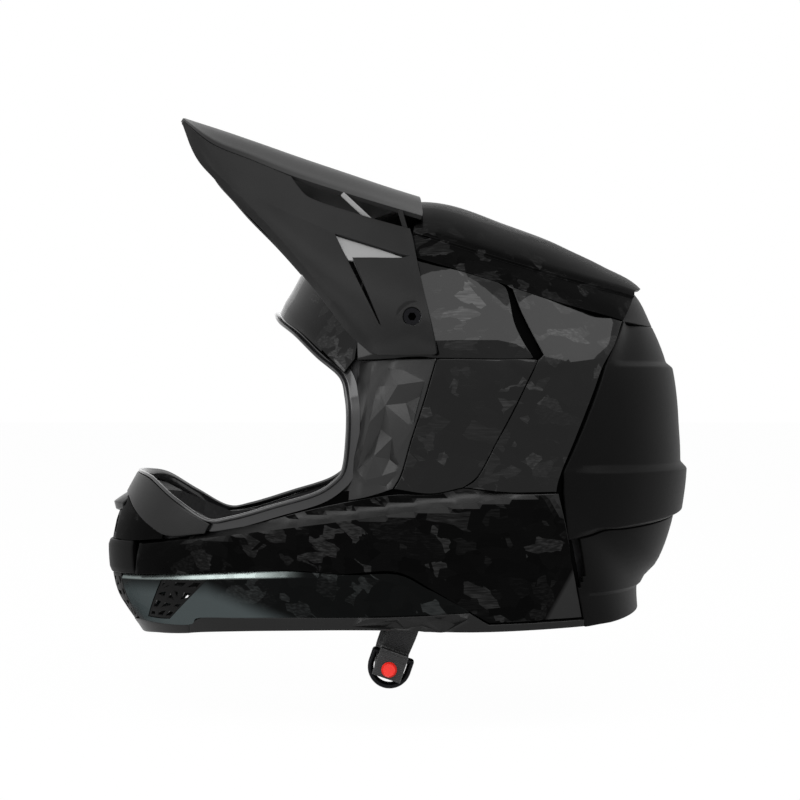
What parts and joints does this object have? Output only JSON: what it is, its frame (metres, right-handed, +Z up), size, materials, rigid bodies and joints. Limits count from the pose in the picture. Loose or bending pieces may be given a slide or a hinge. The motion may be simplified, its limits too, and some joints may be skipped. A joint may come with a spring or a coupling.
{
  "type": "mountain bike helmet",
  "caption": "Full-face mountain bike helmet with a tilting visor, a moulded chin bar, a hard foam liner with soft pads, and a D-ring chin strap.",
  "frame": {"origin": "middle of the wearer's head on the middle plane, at the level of the ear tops, where the helmet is held on a head", "axes": "-X towards the nose, +Z up, -Y to the wearer's left; the buckle side is -Y"},
  "size_m": [0.3583, 0.2428, 0.3441],
  "materials": {
    "forged_carbon": "gloss clear coat over chopped carbon fibre",
    "gray_gloss": "gloss",
    "matte_trim": "matte",
    "visor_plastic": "matte",
    "hard_foam": "fine beaded foam skin",
    "pad_fabric": "brushed knit",
    "snap_plastic": "satin",
    "bead_rubber": "satin",
    "screw_steel": "satin black",
    "insert_alloy": "machined",
    "rivet_steel": "satin",
    "webbing": "woven",
    "ring_black": "satin black",
    "stud_red": "gloss"
  },
  "bodies": {
    "helmet": {"roof_shell": "forged_carbon", "forehead_shell": "matte_trim", "side_shell_left": "forged_carbon", "side_shell_right": "forged_carbon", "rear_side_shell_left": "forged_carbon", "rear_side_shell_right": "forged_carbon", "cheek_shell_left": "forged_carbon", "cheek_shell_right": "forged_carbon", "jaw_shell_left": "forged_carbon", "jaw_shell_right": "forged_carbon", "cheek_trim_left": "matte_trim", "cheek_trim_right": "matte_trim", "nose_trim": "matte_trim", "nose_shell_left": "forged_carbon", "nose_shell_right": "forged_carbon", "nose_vent": "matte_trim", "chin_bumper": "matte_trim", "lower_chin_left": "gray_gloss", "lower_chin_right": "gray_gloss", "side_grille_left": "matte_trim", "side_grille_right": "matte_trim", "front_grille": "matte_trim", "bottom_trim_left": "matte_trim", "bottom_trim_right": "matte_trim", "front_trim": "matte_trim", "rear_shell": "matte_trim", "rear_bridge": "matte_trim", "neck_shell": "matte_trim", "eye_bead": "bead_rubber", "crown_liner": "hard_foam", "chin_liner": "hard_foam", "crown_pad_left": "pad_fabric", "crown_pad_right": "pad_fabric", "top_pad": "pad_fabric", "brow_pad": "pad_fabric", "temple_pad_left": "pad_fabric", "temple_pad_right": "pad_fabric", "neck_pad": "pad_fabric", "cheek_pad_left": "pad_fabric", "cheek_pad_right": "pad_fabric", "pad_snaps": "snap_plastic", "chin_pad": "pad_fabric", "visor_screw_left": "screw_steel", "visor_screw_right": "screw_steel", "visor_insert_left": "insert_alloy", "visor_insert_right": "insert_alloy", "strap_rivet_left": "rivet_steel", "strap_rivet_right": "rivet_steel", "strap_left": "webbing", "strap_right": "webbing", "strap_tail": "webbing", "press_stud": "stud_red"},
    "visor": {"visor": "visor_plastic"},
    "ring_outer": {"ring_outer": "ring_black"},
    "ring_inner": {"ring_inner": "ring_black"}
  },
  "joints": [
    {"name": "visor_tilt", "type": "hinge", "parent": "helmet", "child": "visor", "pos_m": [-0.0397, 0, 0.047], "axis": [0, 1, 0], "range_deg": [-12, 0]},
    {"name": "ring_swing_outer", "type": "hinge", "parent": "helmet", "child": "ring_outer", "pos_m": [-0.0505, -0.0776, -0.149], "axis": [0.9455, 0, -0.3256], "range_deg": [0, 20]},
    {"name": "ring_swing_inner", "type": "hinge", "parent": "helmet", "child": "ring_inner", "pos_m": [-0.0505, -0.0734, -0.149], "axis": [0.9455, 0, -0.3256], "range_deg": [0, 20]}
  ],
  "couplings": [
    {"joint": "ring_swing_inner", "follows": "ring_swing_outer", "ratio": 1}
  ]
}
